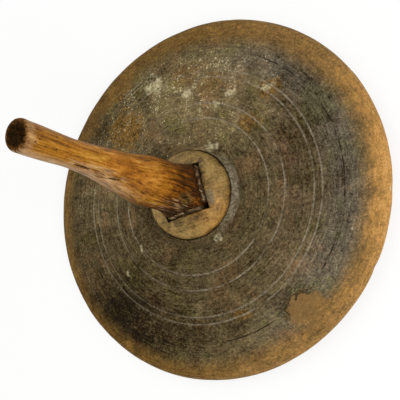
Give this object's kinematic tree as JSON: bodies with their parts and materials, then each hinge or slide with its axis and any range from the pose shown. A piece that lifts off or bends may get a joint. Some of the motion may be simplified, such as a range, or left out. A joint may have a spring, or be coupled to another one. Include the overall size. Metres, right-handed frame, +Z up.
{
  "type": "pottery wheel",
  "caption": "Worn wooden hand-turned pottery wheel lying on its working face, its round head turning on a domed hub wedged to a tapered post.",
  "frame": {"origin": "centre of the flat working face, which the wheel lies on", "axes": "+Z up along the wheel's axis from the working face to the free end of the post; X and Y along the sides of the post's square tenon"},
  "size_m": [0.4999, 0.4998, 0.3225],
  "materials": {
    "wheel_wood": "dark, clay-stained and worn to bare wood along the rim",
    "hub_wood": "worn smooth and waxy",
    "post_wood": "hand-polished with long cracks",
    "wedge_wood": "rough split wood",
    "bush_wood": "greased and polished by turning",
    "washer_leather": "greased",
    "cup_stone": "polished in the dimple",
    "pin_iron": "rusted, bright at the tip"
  },
  "bodies": {
    "wheel": {"wheel_disc": "wheel_wood", "bore_bush": "bush_wood", "pivot_cup": "cup_stone"},
    "washer": {"leather_washer": "washer_leather"},
    "post": {"hub_block": "hub_wood", "spindle_post": "post_wood", "pivot_pin": "pin_iron", "wedge_right": "wedge_wood", "wedge_front": "wedge_wood"}
  },
  "joints": [
    {"name": "post_lift", "type": "slide", "parent": "wheel", "child": "washer", "axis": [0, 0, 1], "range_m": [0, 0.06]},
    {"name": "wheel_spin", "type": "hinge", "parent": "washer", "child": "post", "pos_m": [0, 0, 0.02], "axis": [0, 0, 1], "continuous": true}
  ]
}
